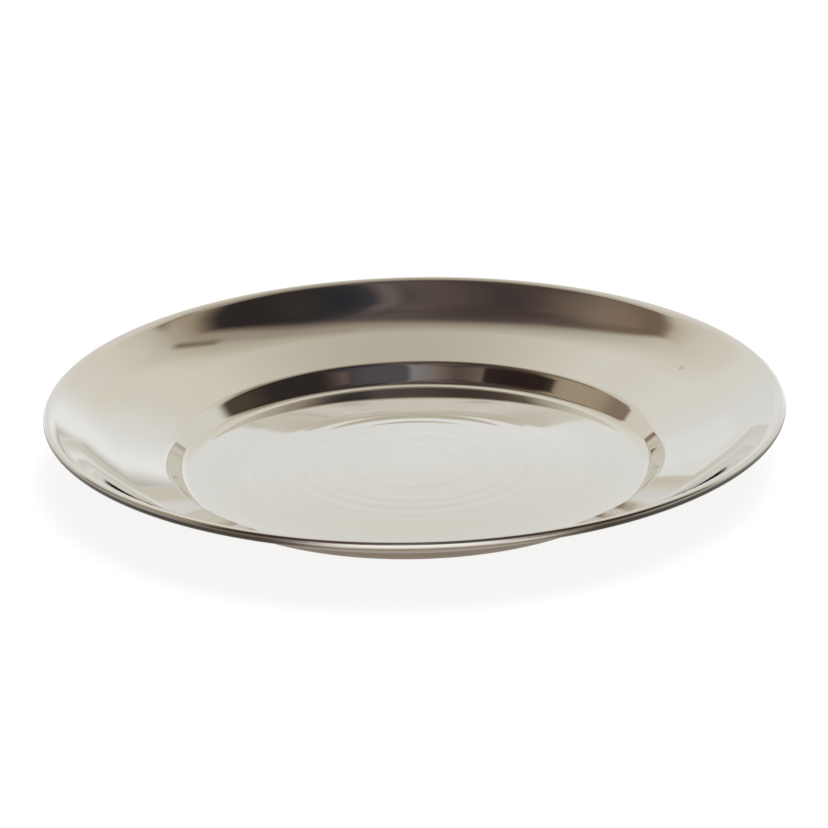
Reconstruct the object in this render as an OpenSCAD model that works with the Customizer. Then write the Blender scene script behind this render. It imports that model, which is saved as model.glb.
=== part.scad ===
// Deep round plate, pressed from one disc of stainless-steel sheet.
// Its outline is the sheet's own: stretches of even thickness, each an arc or a straight that leaves
// the one before it in the same direction, turned about the plate's axis.
// Origin on the axis, on the surface that the plate stands on. +Z points up out of the well.

/* [Overall] */
// Diameter over the rolled rim
plate_d = 261; // [200:1:320]
// Height from the table to the top of the rim
plate_h = 26.7; // [20:0.1:40]
// Thickness of the sheet
sheet_t = 0.6; // [0.4:0.05:0.8]

/* [Base] */
// Width of the side, from the level base out to the edge of the rim
flank_w = 50.7; // [40:0.1:70]
// Radius of the corner between the base and the step, inside the plate
corner_r = 5.3; // [2:0.1:6]
// Width of the level ring that the plate stands on
level_w = 3; // [1:0.1:6]
// Rise of the crowned centre above the level ring
crown_h = 2.3; // [0.5:0.1:4]
// Share of the crowned centre's width at which it turns over into its foot
crown_share = 0.76; // [0.5:0.01:0.9]

/* [Step] */
// Height of the step, from the base to where its shoulder would be level
step_h = 7.5; // [6:0.1:12]
// Slope of the step
step_angle = 51; // [45:1:65]
// Radius of the shoulder at the top of the step
shoulder_r = 5.3; // [2:0.1:6]

/* [Wall] */
// Degrees that the wall steepens by on its way from the shoulder to the rim
wall_turn = 16.7; // [2:0.1:30]
// Radius of the wide bend in which it does so
flare_r = 54; // [10:1:65]
// Share of the wall's straight length that lies below this bend
lower_share = 0.66; // [0.2:0.01:0.9]

/* [Rim] */
// Radius of the lip, where the top of the wall eases over towards the bead
lip_r = 9; // [4:0.5:12]
// Degrees that the wall levels out by in this lip
lip_turn = 17.7; // [2:0.1:20]
// Diameter of the rolled rim's bead
bead_d = 3.3; // [2:0.1:4]
// Degrees that the sheet is rolled on by, past the top of the bead
curl_angle = 230; // [180:1:235]

/* [Hidden] */

$fn = 96;

function along(a) = [cos(a), sin(a)];
function slope_of(way) = atan2(way.y, way.x);

// Way that an arc goes from one direction to another, for a radius of one, turning up to the left
function bend(from, to) = [sin(to) - sin(from), cos(from) - cos(to)];

// The crowned centre falls away on one arc and levels out on another, which meet at this slope
base_r = plate_d / 2 - flank_w;
foot_r = base_r - level_w;
crown_turn = 2 * atan(crown_h / foot_r);
crown_r = crown_share * foot_r / sin(crown_turn);
crown_foot_r = (1 - crown_share) * foot_r / sin(crown_turn);

// The step's straight makes up the height that its two bends leave
riser_w = (step_h - (corner_r + shoulder_r) * (1 - cos(step_angle))) / sin(step_angle);

// Centres of the shoulder's bend and of the bead
shoulder_at = [base_r, sheet_t] + corner_r * bend(0, step_angle) + riser_w * along(step_angle)
    + shoulder_r * along(step_angle - 90);
bead_r = bead_d / 2;
bead_at = [plate_d / 2 - bead_r, plate_h - bead_r];

// A wall that started level would lead from one centre to the other by a way made up of its bends,
// and of its straights, which are as long as makes the two centres as far apart as they are
bends = [0, shoulder_r] + flare_r * bend(0, wall_turn) + lip_r * bend(wall_turn - lip_turn, wall_turn)
    + bead_r * along(wall_turn - lip_turn - 90);
straight = lower_share * along(0) + (1 - lower_share) * along(wall_turn);
reach = bead_at - shoulder_at;
square = straight * straight;
along_bends = straight * bends;
straights_w = (sqrt(along_bends ^ 2 - square * (bends * bends - reach * reach)) - along_bends) / square;

// Turned so that it meets the bead, the wall starts at this slope and its lip ends at the rim's
wall_angle = slope_of(reach) - slope_of(bends + straights_w * straight);
rim_angle = wall_angle + wall_turn - lip_turn;

// The top face from the axis to the cut edge in the bead, one row a stretch:
// length of a straight, radius of an arc, degrees that it turns by, up to the left and down to the right
STRETCHES = [
    [0, crown_r, -crown_turn],
    [0, crown_foot_r, crown_turn],
    [level_w, 0, 0],
    [0, corner_r, step_angle],
    [riser_w, 0, 0],
    [0, shoulder_r, wall_angle - step_angle],
    [lower_share * straights_w, 0, 0],
    [0, flare_r, wall_turn],
    [(1 - lower_share) * straights_w, 0, 0],
    [0, lip_r, -lip_turn],
    [0, bead_r, -rim_angle - curl_angle]
];

// An arc is drawn in sides that each turn by no more than this, and are no longer than this
side_turn = 7.5;
side_w = 5;

function sides(s) = max(1, ceil(abs(s[2]) / side_turn), ceil(abs(s[2]) * PI / 180 * s[1] / side_w));

// Way from the start of a stretch to a share of its length, where it starts in the direction a
function run(s, a, share) = share * s[0] * along(a) + sign(s[2]) * s[1] * bend(a, a + share * s[2]);

// Direction in which stretch i starts, and the place on the top face where it does
function heading(i) = i == 0 ? 0 : heading(i - 1) + STRETCHES[i - 1][2];
function start(i) = i == 0 ? [0, sheet_t + crown_h]
    : start(i - 1) + run(STRETCHES[i - 1], heading(i - 1), 1);

// Places along the top face, each with the direction of the sheet there
function marks(i) = let (s = STRETCHES[i], a = heading(i), from = start(i), n = sides(s))
    [for (k = [1:n]) [from + run(s, a, k / n), a + s[2] * k / n]];
MARKS = [
    [start(0), 0],
    for (i = [0:len(STRETCHES) - 1]) each marks(i)
];

// The sheet cut from the axis to its edge: the top face out, and the underside back
module sheet_section() {
    top = [for (m = MARKS) m[0]];
    under = [for (k = [len(MARKS) - 1:-1:0]) MARKS[k][0] + sheet_t * along(MARKS[k][1] - 90)];
    polygon(concat(top, under));
}

// The whole plate: base, step, wall, lip and rolled rim are one sheet
module plate() {
    color("silver")
        rotate_extrude()
            sheet_section();
}

plate();
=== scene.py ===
import math

import bpy
import numpy as np
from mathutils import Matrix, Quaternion, Vector


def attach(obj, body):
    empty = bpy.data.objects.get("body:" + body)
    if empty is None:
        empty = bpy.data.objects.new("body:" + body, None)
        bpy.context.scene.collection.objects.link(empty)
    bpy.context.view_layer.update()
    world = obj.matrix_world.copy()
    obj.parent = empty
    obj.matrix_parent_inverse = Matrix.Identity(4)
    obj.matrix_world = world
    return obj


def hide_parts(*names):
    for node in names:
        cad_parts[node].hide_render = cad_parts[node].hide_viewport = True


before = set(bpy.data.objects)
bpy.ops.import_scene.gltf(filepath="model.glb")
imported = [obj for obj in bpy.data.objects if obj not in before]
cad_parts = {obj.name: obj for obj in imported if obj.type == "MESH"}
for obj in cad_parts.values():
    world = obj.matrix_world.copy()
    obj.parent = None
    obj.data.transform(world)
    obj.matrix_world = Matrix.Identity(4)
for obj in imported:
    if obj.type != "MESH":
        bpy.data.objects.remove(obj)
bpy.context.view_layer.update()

MM = 0.001
scene = bpy.context.scene

# ---------------------------------------------------------------- sizes, in millimetres and degrees
# The sheet's section, with the same named values as the CAD model's
PLATE_D = 261.0
PLATE_H = 26.7
SHEET_T = 0.6
FLANK_W = 50.7
CORNER_R = 5.3
LEVEL_W = 3.0
CROWN_H = 2.3
CROWN_SHARE = 0.76
STEP_H = 7.5
STEP_ANGLE = 51.0
SHOULDER_R = 5.3
WALL_TURN = 16.7
FLARE_R = 54.0
LOWER_SHARE = 0.66
LIP_R = 9.0
LIP_TURN = 17.7
BEAD_D = 3.3
CURL_ANGLE = 230.0

# Softer start of the lip: how far it levels out early, the distances from the axis at which the change of
# slope is first made up for, starts, is full and ends, and the width over which making up for it sets in
LIP_EASE = 1.7
MAKE_UP_FROM, EASE_FROM, EASE_FULL, EASE_TO = 89.0, 120.0, 125.9, 128.5
MAKE_UP_IN = 4.0

# Fine turning rings in the crowned centre: distance between two, depth, the band that has them,
# and the widths over which they set in and fade
RING_PITCH = 6.0
RING_DEPTH = 0.03
RING_FROM, RING_TO = 8.0, 56.0
RING_IN, RING_OUT = 4.0, 6.0

# Largest turn and largest length of one side of the section, and number of sides round the axis
SIDE_TURN, SIDE_W = 2.5, 1.0
ROUND_SIDES = 540

# ---------------------------------------------------------------- finish, with painted shade and a painted highlight
# Degrees past the bead's top at which the polish starts to turn satin, and over which it does
DULL_FROM, DULL_OVER = 30.0, 35.0
# The same for the colour, which turns to a painted brown shade, and how much later it turns along the
# painted highlight at the front
BROWN_FROM, BROWN_OVER, HIGHLIGHT_LATER = 50.0, 30.0, 26.0
# Middle of the painted highlight at the front of the bead, and how far it is full and reaches to both sides
HIGHLIGHT_AT, HIGHLIGHT_TO, HIGHLIGHT_END = 5.0, 26.0, 58.0

# Colours of the polished steel, its smudges, the rings, middle disc and crown's foot in its base, and specks
STEEL_COLOUR = (0.845, 0.83, 0.795)
SMUDGE_COLOUR = (0.825, 0.805, 0.765)
RING_COLOUR = (0.805, 0.79, 0.755)
DISC_COLOUR = (0.87, 0.855, 0.825)
FOOT_COLOUR = (0.79, 0.775, 0.74)
SPECK_COLOUR = (0.3, 0.27, 0.22)
# Colours of the underside's base and flank and of the bead's lower part, and how uneven they are. The
# flank's and the bead's darker brown is painted shade, for the shadowed table and dark surroundings that
# they mirror
BELOW_COLOUR = (0.42, 0.39, 0.345)
FLANK_SHADE_COLOUR = (0.26, 0.205, 0.155)
BEAD_SHADE_COLOUR = (0.058, 0.046, 0.037)
PATCHINESS = 0.15
# Base colour and roughness that the shader shows where its nodes are left out
PLAIN_COLOUR, PLAIN_ROUGH = (0.84, 0.825, 0.79), 0.07

# Distances from the axis over which the disc ends, the foot starts, and the base ends above and below
DISC_EDGE, FOOT_EDGE, BASE_EDGE, BELOW_EDGE = (9.5, 12.5), (60.0, 64.0), (66.0, 78.0), (77.0, 83.0)
# Share of each colour over the one below it
SMUDGE_SHARE, RING_SHARE, DISC_SHARE, FOOT_SHARE = 0.35, 0.5, 0.5, 0.35

# Roughness of the polish, and what its turned lines, smudges and scratches add
POLISH, LINES_ROUGH, SMUDGES_ROUGH, SCRATCHES_ROUGH = 0.036, 0.012, 0.025, 0.12
# Roughness of the satin underside, what the bead is less by, and how much their grain adds
SATIN, BEAD_LESS, GRAIN_ROUGH = 0.4, 0.18, 0.08
# Height of the turned lines, of the soft waves of pressed sheet and, downwards, of the scratches
LINES_H, WAVES_H, SCRATCHES_H = 0.00002, 0.035, -0.0002

# Noise, in waves a metre: turned lines, rings of polish, waves, smudges, patches, grain and specks
LINES_PER_M, RINGS_PER_M, WAVES_PER_M, SMUDGES_PER_M = 4500.0, 190.0, 26.0, 34.0
PATCHES_PER_M, GRAIN_PER_M, SPECKS_PER_M = 60.0, 300.0, 34.0
# Parts of a noise's range that show as rings of polish, as smudges and as scratches
RINGS_IN_NOISE, SMUDGES_IN_NOISE, SCRATCHES_IN_NOISE = (0.35, 0.65), (0.48, 0.72), (0.735, 0.79)
# Directions of the hair scratches, each with a shift of its noise, and that noise's scale along three axes
SCRATCHES = ((0.5, 3.1), (-1.1, 7.7))
SCRATCH_PER_M = (1500, 34, 300)
# Specks: their edge as a share of a cell, and how strong they are
SPECK_EDGE, SPECK_SHARE = (0.02, 0.035), 0.3
# Place of a small dark speck on the wall, the distances from it between which it fades, and its strength
WALL_SPECK, WALL_SPECK_EDGE, WALL_SPECK_SHARE = (97.5, 53.8, 15.9), (0.4, 1.6), 0.35

# ---------------------------------------------------------------- studio, in metres and degrees
FLOOR_R, FLOOR_SIDES = 3.0, 96
FLOOR_GREY, FLOOR_GLOW = 0.2, 0.87
LAMP_AT, LAMP_SIZE, LAMP_POWER = (0.4, -0.5, 2.2), 1.6, 38
CAMERA_AT, CAMERA_AIM, CAMERA_ROLL = (0, -1.44702, 0.58347), (-0.00019, 0.05219, 0.0008), -1.23
CAMERA_LENS, SENSOR_W = 191.4, 36
CAMERA_NEAR, CAMERA_FAR = 0.05, 50

# Surroundings: a base colour, and soft patches laid over it in this order. One row a patch:
# side, over, half width, half height, edge at its sides, edge above and below, tilt, colour
BASE_COLOUR = (0.82, 0.81, 0.79)
PATCHES = [
    (0, 113, 300, 100, 1, 8, 0, (0.79, 0.79, 0.77)),  # wall behind the plate, darker upwards in four tones
    (0, 130, 300, 100, 1, 10, 0, (0.71, 0.67, 0.59)),
    (0, 146, 300, 100, 1, 8, 0, (0.57, 0.52, 0.42)),
    (0, 158, 300, 100, 1, 7, 0, (0.44, 0.41, 0.33)),
    (-48, 30, 16, 30, 10, 14, 0, (0.7, 0.66, 0.58)),  # warmer sides
    (48, 30, 16, 30, 10, 14, 0, (0.73, 0.71, 0.65)),
    (-4.5, 44.5, 19, 8, 12, 11, -12, (0.74, 0.71, 0.65)),  # a soft shape, with a darker streak in it
    (1, 43.5, 1, 5, 1, 3, 45.5, (0.53, 0.52, 0.47)),
    (-48.5, 60, 14, 35, 2, 10, -33, (0.24, 0.16, 0.12)),  # tan shapes on the left
    (-56.5, 47, 11.5, 15, 2, 8.5, -69, (0.24, 0.19, 0.14)),
    (0, 110.5, 300, 42.5, 1, 8, 0, (0.23, 0.17, 0.13)),  # ceiling
    (-43, 77, 21, 12, 9.5, 1, -90, (0.38, 0.3, 0.21)),  # shapes in it that the far rim mirrors
    (-31.5, 96.5, 9.5, 15.5, 6.5, 3.5, 38.5, (0.061, 0.042, 0.025)),
    (-26, 65.5, 10.5, 3.5, 1, 2.5, 34.5, (0.18, 0.13, 0.09)),
    (0.5, 78, 20.5, 6, 10, 3, 11.5, (0.12, 0.1, 0.09)),
    (-12, 80, 10.5, 9.5, 7.5, 8.5, 5.5, (0.068, 0.049, 0.042)),
    (11.5, 88.5, 16.5, 9, 5.5, 9.5, -51, (0.022, 0.025, 0.033)),
    (17.5, 64.5, 12.5, 0.5, 1, 5, 3.5, (0.33, 0.27, 0.21)),
    (35, 74.5, 6.5, 17.5, 11, 7.5, 32.5, (0.36, 0.27, 0.16)),
    (26, 61, 4.5, 2, 1.5, 2, -24, (0.21, 0.17, 0.12)),
    (-37, 112, 13.5, 16.5, 1, 11, 13.5, (0.026, 0.016, 0.014)),  # and that the step mirrors
    (-14.5, 103, 7.5, 19.5, 12, 3.5, -0.5, (0.05, 0.038, 0.039)),
    (4.5, 121, 7, 18.5, 12, 1.5, 14.5, (0.22, 0.24, 0.26)),
    (3, 92.5, 1.5, 10, 1.5, 14, 16, (0.16, 0.13, 0.12)),
    (12.5, 116, 11, 21.5, 1.5, 7, 2.5, (0.085, 0.077, 0.084)),
    (45, 89.5, 29, 23.5, 10.5, 3.5, -18.5, (0.029, 0.024, 0.023)),
    (57, 73, 12, 16, 12, 5.5, -25.5, (0.075, 0.057, 0.043)),
    (-14, 16.5, 13.5, 9.5, 8, 1, -43.5, (0.76, 0.76, 0.74)),  # pale shapes near the horizon
    (12.5, 2, 16, 10.5, 5.5, 9, 89, (0.9, 0.9, 0.89)),
    (-16.5, 31, 17.5, 5.5, 3.5, 6, 22.5, (0.76, 0.74, 0.68)),
    (22.5, 36, 5, 14.5, 6.5, 7.5, 9, (0.74, 0.7, 0.62)),
    (-9, 15.5, 5.5, 5.5, 3, 2.5, 7.5, (0.81, 0.81, 0.8)),
    (8, 5.5, 5.5, 3, 2, 4.5, -15.5, (0.5, 0.48, 0.43)),
    (0, 164, 38, 18, 8, 4, 0, (0.07, 0.058, 0.045)),  # dark wall behind the camera, with a window in it
    (0, 162, 26, 26, 7, 8, 0, (1.1, 1.08, 1.04)),
    (80, 90, 18, 300, 6, 1, 0, (0.62, 0.61, 0.59)),  # pale walls at both far sides
    (-80, 90, 18, 300, 6, 1, 0, (0.62, 0.61, 0.59)),
]


# ---------------------------------------------------------------- section of the sheet
def along(a):
    return np.array([math.cos(a), math.sin(a)])


def bend(a, b):
    """Way that an arc of radius one goes from one direction to another, turning up to the left."""
    return np.array([math.sin(b) - math.sin(a), math.cos(a) - math.cos(b)])


def slope_of(way):
    return math.atan2(way[1], way[0])


def stretches():
    """Rows of the top face from the axis out: length of a straight, radius of an arc, turn in radians."""
    base_r = PLATE_D / 2 - FLANK_W
    foot_r = base_r - LEVEL_W
    crown = 2 * math.atan(CROWN_H / foot_r)
    crown_r, crown_foot_r = (share * foot_r / math.sin(crown) for share in (CROWN_SHARE, 1 - CROWN_SHARE))
    step, turn, lip = math.radians(STEP_ANGLE), math.radians(WALL_TURN), math.radians(LIP_TURN)
    riser_w = (STEP_H - (CORNER_R + SHOULDER_R) * (1 - math.cos(step))) / math.sin(step)
    shoulder = np.array([base_r, SHEET_T]) + CORNER_R * bend(0, step) + riser_w * along(step)
    shoulder = shoulder + SHOULDER_R * along(step - math.pi / 2)
    bead_r = BEAD_D / 2
    reach = np.array([PLATE_D / 2 - bead_r, PLATE_H - bead_r]) - shoulder
    # the wall as if it started level, turned at the end so that it meets the bead
    bends = np.array([0, SHOULDER_R]) + FLARE_R * bend(0, turn) + LIP_R * bend(turn - lip, turn)
    bends = bends + bead_r * along(turn - lip - math.pi / 2)
    straight = LOWER_SHARE * along(0) + (1 - LOWER_SHARE) * along(turn)
    a, b, c = straight @ straight, straight @ bends, bends @ bends - reach @ reach
    straights_w = (math.sqrt(b * b - a * c) - b) / a
    wall = slope_of(reach) - slope_of(bends + straights_w * straight)
    return [
        (0, crown_r, -crown),
        (0, crown_foot_r, crown),
        (LEVEL_W, 0, 0),
        (0, CORNER_R, step),
        (riser_w, 0, 0),
        (0, SHOULDER_R, wall - step),
        (LOWER_SHARE * straights_w, 0, 0),
        (0, FLARE_R, turn),
        ((1 - LOWER_SHARE) * straights_w, 0, 0),
        (0, LIP_R, -lip),
        (0, bead_r, lip - wall - turn - math.radians(CURL_ANGLE)),
    ]


def top_line():
    """Points (distance from the axis, height) and slopes along the top face, from the axis out."""
    points, slopes = [np.array([0.0, SHEET_T + CROWN_H])], [0.0]
    for length, radius, turn in stretches():
        a, p = slopes[-1], points[-1]
        way = length + abs(turn) * radius
        n = max(1, math.ceil(abs(math.degrees(turn)) / SIDE_TURN), math.ceil(way / SIDE_W))
        for k in range(1, n + 1):
            b = a + k / n * turn
            points.append(p + k / n * length * along(a) + math.copysign(radius, turn) * bend(a, b))
            slopes.append(b)
    return with_soft_lip(np.array(points), np.array(slopes))


def with_soft_lip(points, slopes):
    """Lets the sheet level out by up to LIP_EASE degrees before the lip, and makes up for it by a slightly
    steeper wall. That moves the sheet by 0.12 mm at most. The curl past the widest point stays as it is."""
    r = points[:, 0]
    fade = np.clip((EASE_TO - r) / (EASE_TO - EASE_FULL), 0, 1)
    ease = np.clip((r - EASE_FROM) / (EASE_FULL - EASE_FROM), 0, 1) ** 2 * fade
    lift = np.clip((r - MAKE_UP_FROM) / MAKE_UP_IN, 0, 1) * fade
    curl = np.arange(len(r)) > np.argmax(r)
    ease[curl] = lift[curl] = 0
    dr = np.diff(r, prepend=0)
    turn = np.radians(LIP_EASE) * (lift * (ease @ dr) / (lift @ dr) - ease)
    rise = np.cumsum(np.where(curl, 0, turn / np.cos(slopes) ** 2 * dr))
    points = points.copy()
    points[:, 1] += rise - rise[-1] * np.clip((r - MAKE_UP_FROM) / (EASE_TO - MAKE_UP_FROM), 0, 1)
    return points, slopes + turn


def with_rings(points, slopes):
    """Adds the fine rings to the crowned centre, with the slope that they give."""
    r = points[:, 0]
    band = np.clip((r - RING_FROM) / RING_IN, 0, 1) * np.clip((RING_TO - r) / RING_OUT, 0, 1)
    phase = 2 * math.pi * (r - RING_FROM) / RING_PITCH
    points = points.copy()
    points[:, 1] += 0.5 * RING_DEPTH * band * np.sin(phase)
    return points, slopes + 0.5 * RING_DEPTH * band * np.cos(phase) * 2 * math.pi / RING_PITCH


# ---------------------------------------------------------------- mesh
def lathe(name, line, slopes, under):
    """The sheet turned about the axis: top face out, cut edge, underside back, with exact normals."""
    n = ROUND_SIDES
    t = np.linspace(0, 2 * math.pi, n, endpoint=False)
    c, s = np.cos(t), np.sin(t)

    def turned(rows, top, low):
        """Rows of (out, up) turned about the axis, and the two in its middle."""
        out, up = rows[:, :1], np.repeat(rows[:, 1:], n, 1)
        return np.vstack([np.stack([out * c, out * s, up], -1).reshape(-1, 3), [[0, 0, top], [0, 0, low]]])

    upward = np.stack([-np.sin(slopes), np.cos(slopes)], 1)
    rows = np.concatenate([line[1:], under[:0:-1]])
    co = turned(rows, line[0, 1], under[0, 1])
    no = turned(np.concatenate([upward[1:], -upward[:0:-1]]), 1, -1)

    m = len(rows)
    i = np.arange(m - 1)[:, None] * n
    j = np.arange(n)
    k = (j + 1) % n
    faces = np.stack([i + j, i + n + j, i + n + k, i + k], -1).reshape(-1, 4).tolist()
    last, top, low = (m - 1) * n, m * n, m * n + 1
    faces += [[top, a, b] for a, b in zip(j.tolist(), k.tolist())]
    faces += [[low, last + b, last + a] for a, b in zip(j.tolist(), k.tolist())]
    mesh = bpy.data.meshes.new(name)
    mesh.from_pydata((co * MM).tolist(), [], faces)
    mesh.polygons.foreach_set("use_smooth", np.ones(len(faces), bool))
    mesh.update()
    mesh.normals_split_custom_set_from_vertices(no.tolist())
    mark_finish_and_shade(mesh, slopes, m, c, s)
    made = bpy.data.objects.new(name, mesh)
    scene.collection.objects.link(made)
    return made


def mark_finish_and_shade(mesh, slopes, m, c, s):
    """Gives the mesh's m rows of points, at angles of these cosines and sines, four attributes from 0 to 1:
    "dull" is 1 where the sheet is less polished, low on the bead and all over the underside, and one more
    is 1 where it has the colour of the underside and of the bead's lower part, painted dark shade that
    starts later along a painted highlight at the front. "rim" is 1 on the top face and the bead and 0 on the
    underside, and "edge" is as "rim" but 0 along the painted highlight, where the bead takes the flank's
    brown."""
    past_top = np.full((m, 1), 360.0)
    past_top[:len(slopes) - 1, 0] = -np.degrees(slopes[1:])
    # painted highlight: a stretch at the front of the bead where the painted brown shade starts later and is
    # lighter
    aside = np.abs(PLATE_D / 2 * c - HIGHLIGHT_AT) + np.where(s > 0, PLATE_D, 0)
    painted_highlight = np.clip((HIGHLIGHT_END - aside) / (HIGHLIGHT_END - HIGHLIGHT_TO), 0, 1)
    painted_highlight = (painted_highlight * painted_highlight * (3 - 2 * painted_highlight))[None]
    # where the colour turns to the brown of the underside and to the painted dark shade of the bead's lower
    # part
    shade_and_underside = np.clip((past_top - BROWN_FROM - painted_highlight * HIGHLIGHT_LATER) / BROWN_OVER, 0, 1)
    dull = np.clip((past_top - DULL_FROM) / DULL_OVER, 0, 1)
    rim = np.where(np.arange(m) < len(slopes) - 1, 1.0, 0.0)[:, None]
    # each with its values in the middle of the top face and of the underside
    for label, values, middles in (("shade_and_underside", shade_and_underside, (0, 1)), ("dull", dull, (0, 1)), ("rim", rim, (1, 0)),
                                   ("edge", rim * (1 - painted_highlight), (1, 0))):
        values = np.broadcast_to(values, (m, len(c))).ravel()
        mesh.attributes.new(label, "FLOAT", "POINT").data.foreach_set("value", np.append(values, middles))


# ---------------------------------------------------------------- materials
def nodes_of(tree):
    """Empties a node tree and gives two functions that fill it: one adds any node, the other a Math node
    and gives its output. An input is a plain value, or the output that is joined to it."""
    tree.nodes.clear()

    def add(kind, inputs=None, **settings):
        n = tree.nodes.new(kind)
        for key, value in settings.items():
            setattr(n, key, value)
        for key, value in (inputs or {}).items():
            if isinstance(value, bpy.types.NodeSocket):
                tree.links.new(value, n.inputs[key])
            else:
                n.inputs[key].default_value = value
        return n

    def calc(operation, *values):
        return add("ShaderNodeMath", dict(enumerate(values)), operation=operation).outputs[0]

    return add, calc


def opaque(colour):
    return (*colour, 1)


def polished_steel():
    """Polished stainless steel: fine turned lines round the axis, the soft unevenness of pressed sheet,
    hair scratches, finger smudges and a few specks. The underside is less polished and brownish grey. Its
    flank and the bead's lower part are darker brown as painted shade, and a painted highlight keeps the bead
    lighter at the front."""
    m = bpy.data.materials.new("polished_steel")
    m.use_nodes = True
    add, calc = nodes_of(m.node_tree)
    place = add("ShaderNodeTexCoord").outputs["Object"]
    flat = add("ShaderNodeVectorMath", {0: place, 1: (1, 1, 0)}, operation="MULTIPLY")
    radius = add("ShaderNodeVectorMath", {0: flat.outputs[0]}, operation="LENGTH").outputs["Value"]
    shade_and_underside, dull, rim, edge = (add("ShaderNodeAttribute", attribute_name=label).outputs["Fac"]
                              for label in ("shade_and_underside", "dull", "rim", "edge"))

    def noise(scale, detail, rough=0.5, where=place):
        inputs = {"Vector": where, "Scale": scale, "Detail": detail, "Roughness": rough}
        return add("ShaderNodeTexNoise", inputs).outputs["Fac"]

    def noise_round(scale, detail):
        """Noise that changes with the distance from the axis only."""
        inputs = {"W": radius, "Scale": scale, "Detail": detail}
        return add("ShaderNodeTexNoise", inputs, noise_dimensions="1D").outputs["Fac"]

    def remap(value, between, to=(0.0, 1.0)):
        inputs = {"Value": value, "From Min": between[0], "From Max": between[1],
                  "To Min": to[0], "To Max": to[1]}
        return add("ShaderNodeMapRange", inputs, interpolation_type="SMOOTHSTEP").outputs[0]

    def past(distance, between, to=(0.0, 1.0)):
        return remap(distance, [v * MM for v in between], to)

    def blend(share, a, b):
        return add("ShaderNodeMix", {0: share, 6: a, 7: b}, data_type="RGBA").outputs[2]

    lines = noise_round(LINES_PER_M, 3.0)
    waves = noise(WAVES_PER_M, 1.5)
    smudges = remap(noise(SMUDGES_PER_M, 5.0, 0.62), SMUDGES_IN_NOISE)

    # hair scratches: short streaks of a stretched noise, in two directions
    streaks = []
    for turn, shift in SCRATCHES:
        inputs = {"Vector": place, "Location": (shift, 0, 0), "Rotation": (0, 0, turn),
                  "Scale": SCRATCH_PER_M}
        stretched = add("ShaderNodeMapping", inputs).outputs[0]
        streaks.append(remap(noise(1.0, 2.0, where=stretched), SCRATCHES_IN_NOISE))
    scratches = calc("MAXIMUM", *streaks)

    # specks: the middles of a few sparse cells, and one on the wall at the right
    cells = add("ShaderNodeTexVoronoi", {"Vector": place, "Scale": SPECKS_PER_M}, feature="F1")
    specks = calc("MULTIPLY", remap(cells.outputs["Distance"], SPECK_EDGE, (1.0, 0.0)), SPECK_SHARE)
    mark = [v * MM for v in WALL_SPECK]
    away = add("ShaderNodeVectorMath", {0: place, 1: mark}, operation="DISTANCE").outputs["Value"]
    specks = calc("MAXIMUM", specks, past(away, WALL_SPECK_EDGE, (WALL_SPECK_SHARE, 0.0)))

    rough = calc("MULTIPLY_ADD", lines, LINES_ROUGH, POLISH)
    rough = calc("MULTIPLY_ADD", smudges, SMUDGES_ROUGH, rough)
    rough = calc("MULTIPLY_ADD", scratches, SCRATCHES_ROUGH, rough)
    grain = calc("MULTIPLY_ADD", rim, -BEAD_LESS, SATIN)
    grain = calc("MULTIPLY_ADD", noise(GRAIN_PER_M, 3.0), GRAIN_ROUGH, grain)
    rough = add("ShaderNodeMix", {0: dull, 2: rough, 3: grain}, data_type="FLOAT").outputs[0]

    # rings of slightly different polish in the base, a brighter disc in its middle and a darker foot
    base = past(radius, BASE_EDGE, (1.0, 0.0))
    rings = calc("MULTIPLY", remap(noise_round(RINGS_PER_M, 1.5), RINGS_IN_NOISE), base)
    disc = past(radius, DISC_EDGE, (1.0, 0.0))
    foot = calc("MULTIPLY", past(radius, FOOT_EDGE), base)
    steel = opaque(STEEL_COLOUR)
    for where, share, colour in ((smudges, SMUDGE_SHARE, SMUDGE_COLOUR), (rings, RING_SHARE, RING_COLOUR),
                                 (disc, DISC_SHARE, DISC_COLOUR), (foot, FOOT_SHARE, FOOT_COLOUR)):
        steel = blend(calc("MULTIPLY", where, share), steel, opaque(colour))
    steel = blend(specks, steel, opaque(SPECK_COLOUR))

    patchy = noise(PATCHES_PER_M, 4.0)

    def uneven(colour):
        darker, paler = ([k * v for v in colour] for k in (1 - PATCHINESS, 1 + PATCHINESS))
        return blend(patchy, opaque(darker), opaque(paler))

    below, flank, bead = uneven(BELOW_COLOUR), uneven(FLANK_SHADE_COLOUR), uneven(BEAD_SHADE_COLOUR)
    # painted shade: the flank and the bead's lower part are dark brown for the shadowed table and dark
    # surroundings that they mirror; along the painted highlight at the front the bead takes the flank's
    # lighter brown
    brown = blend(edge, blend(past(radius, BELOW_EDGE), below, flank), bead)
    colour = blend(shade_and_underside, steel, brown)

    height = calc("MULTIPLY", lines, LINES_H)
    height = calc("MULTIPLY_ADD", waves, WAVES_H, height)
    height = calc("MULTIPLY_ADD", scratches, SCRATCHES_H, height)
    relief = add("ShaderNodeBump", {"Height": height, "Distance": MM}).outputs[0]

    shader = add("ShaderNodeBsdfPrincipled", {"Metallic": 1.0, "Roughness": PLAIN_ROUGH,
                                              "Base Color": opaque(PLAIN_COLOUR)})
    for key, value in (("Base Color", colour), ("Roughness", rough), ("Normal", relief)):
        m.node_tree.links.new(value, shader.inputs[key])
    add("ShaderNodeOutputMaterial", {0: shader.outputs[0]})
    return m


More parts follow.
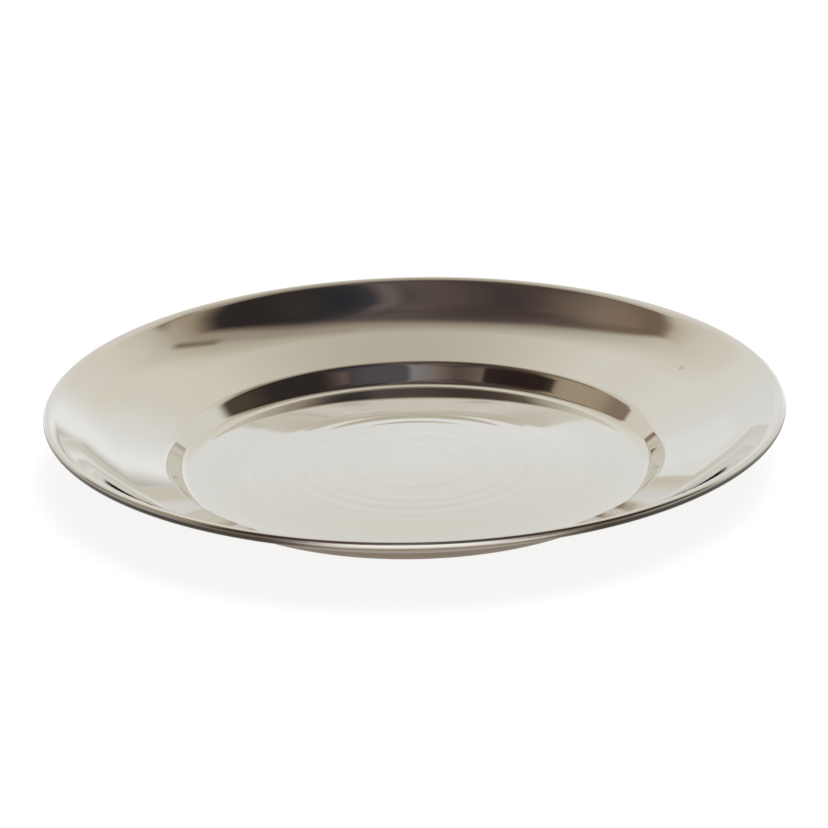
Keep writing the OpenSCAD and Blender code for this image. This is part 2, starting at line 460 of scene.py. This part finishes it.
# ---------------------------------------------------------------- studio
def patch_group():
    """Node group that lays one soft-edged patch of colour over the surroundings.
    Its place is given in degrees: Side from -90 on the left to 90 on the right of the photograph,
    and Over from 0 at the horizon behind the plate, up over it, to 180 at the camera's own side."""
    g = bpy.data.node_groups.new("soft patch", "ShaderNodeTree")
    for name in ("Below", "Colour"):
        g.interface.new_socket(name, in_out="INPUT", socket_type="NodeSocketColor")
    for name in ("Side", "Over", "Side at", "Over at", "Tilt", "Half width", "Half height",
                 "Side edge", "Over edge"):
        g.interface.new_socket(name, in_out="INPUT", socket_type="NodeSocketFloat")
    g.interface.new_socket("Colour", in_out="OUTPUT", socket_type="NodeSocketColor")
    add, calc = nodes_of(g)
    given = add("NodeGroupInput").outputs
    aside = calc("SUBTRACT", given["Side"], given["Side at"])
    above = calc("SUBTRACT", given["Over"], given["Over at"])
    tilt = calc("RADIANS", given["Tilt"])
    cos, sin = calc("COSINE", tilt), calc("SINE", tilt)
    u = calc("ADD", calc("MULTIPLY", aside, cos), calc("MULTIPLY", above, sin))
    v = calc("SUBTRACT", calc("MULTIPLY", above, cos), calc("MULTIPLY", aside, sin))

    def inside(x, half, edge):
        inputs = {"Value": calc("ABSOLUTE", x), "From Min": calc("SUBTRACT", half, edge),
                  "From Max": calc("ADD", half, edge), "To Min": 1, "To Max": 0}
        return add("ShaderNodeMapRange", inputs, interpolation_type="SMOOTHSTEP").outputs[0]

    share = calc("MULTIPLY", inside(u, given["Half width"], given["Side edge"]),
                 inside(v, given["Half height"], given["Over edge"]))
    laid = add("ShaderNodeMix", {0: share, 6: given["Below"], 7: given["Colour"]}, data_type="RGBA")
    add("NodeGroupOutput", {0: laid.outputs[2]})
    return g


def surroundings():
    """World of soft patches, placed by direction only."""
    w = bpy.data.worlds.new("studio")
    scene.world = w
    w.use_nodes = True
    add, calc = nodes_of(w.node_tree)
    way = add("ShaderNodeTexCoord").outputs["Generated"]
    x, y, z = add("ShaderNodeSeparateXYZ", {0: way}).outputs
    side = calc("DEGREES", calc("ARCSINE", x))
    over = calc("DEGREES", calc("ARCTAN2", z, y))
    group = patch_group()
    colour = opaque(BASE_COLOUR)
    for side_at, over_at, half_w, half_h, side_edge, over_edge, tilt, patch in PATCHES:
        inputs = {"Below": colour, "Colour": opaque(patch), "Side": side, "Over": over,
                  "Side at": side_at, "Over at": over_at, "Tilt": tilt,
                  "Half width": half_w, "Half height": half_h,
                  "Side edge": side_edge, "Over edge": over_edge}
        colour = add("ShaderNodeGroup", inputs, node_tree=group).outputs[0]
    background = add("ShaderNodeBackground", {"Color": colour})
    add("ShaderNodeOutputWorld", {0: background.outputs[0]})


def floor():
    """White table. It glows a little for the camera and for what mirrors it, and keeps a soft shadow."""
    me = bpy.data.meshes.new("floor")
    turns = [2 * math.pi * k / FLOOR_SIDES for k in range(FLOOR_SIDES)]
    ring = [(FLOOR_R * math.cos(t), FLOOR_R * math.sin(t), 0) for t in turns]
    me.from_pydata(ring, [], [list(range(FLOOR_SIDES))])
    o = bpy.data.objects.new("floor", me)
    scene.collection.objects.link(o)
    m = bpy.data.materials.new("white table")
    m.use_nodes = True
    add, calc = nodes_of(m.node_tree)
    rays = add("ShaderNodeLightPath").outputs
    seen = rays["Is Camera Ray"]
    for ray in ("Is Glossy Ray", "Is Transmission Ray"):
        seen = calc("MAXIMUM", seen, rays[ray])
    matt = add("ShaderNodeBsdfDiffuse", {"Color": opaque([FLOOR_GREY] * 3)})
    glow = add("ShaderNodeEmission", {"Strength": calc("MULTIPLY", seen, FLOOR_GLOW)})
    both = add("ShaderNodeAddShader", {0: matt.outputs[0], 1: glow.outputs[0]})
    add("ShaderNodeOutputMaterial", {0: both.outputs[0]})
    me.materials.append(m)


def aimed(name, data, place, aim, roll=0):
    """An object at a place that looks at another, rolled about its view by some degrees."""
    o = bpy.data.objects.new(name, data)
    scene.collection.objects.link(o)
    place, aim = Vector(place), Vector(aim)
    o.location = place
    o.rotation_mode = "QUATERNION"
    look = (aim - place).to_track_quat("-Z", "Y")
    o.rotation_quaternion = look @ Quaternion((0, 0, 1), math.radians(roll))
    return o


def lamp():
    """Soft round lamp over the plate, which the steel doesn't mirror."""
    data = bpy.data.lights.new("over", "AREA")
    data.shape = "DISK"
    data.size = LAMP_SIZE
    data.energy = LAMP_POWER
    o = aimed("over", data, LAMP_AT, (0, 0, 0))
    o.visible_glossy = False
    o.visible_camera = False


def camera():
    data = bpy.data.cameras.new("camera")
    data.sensor_width = SENSOR_W
    data.lens = CAMERA_LENS
    data.clip_start, data.clip_end = CAMERA_NEAR, CAMERA_FAR
    scene.camera = aimed("camera", data, CAMERA_AT, CAMERA_AIM, CAMERA_ROLL)


# ---------------------------------------------------------------- scene
line, slopes = top_line()
under = line - SHEET_T * np.stack([-np.sin(slopes), np.cos(slopes)], 1)
line, slopes = with_rings(line, slopes)
plate = lathe("steel_plate", line, slopes, under)
plate.data.materials.append(polished_steel())
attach(plate, "root")
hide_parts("plate")

floor()
surroundings()
lamp()
camera()
scene.view_settings.view_transform = "Standard"
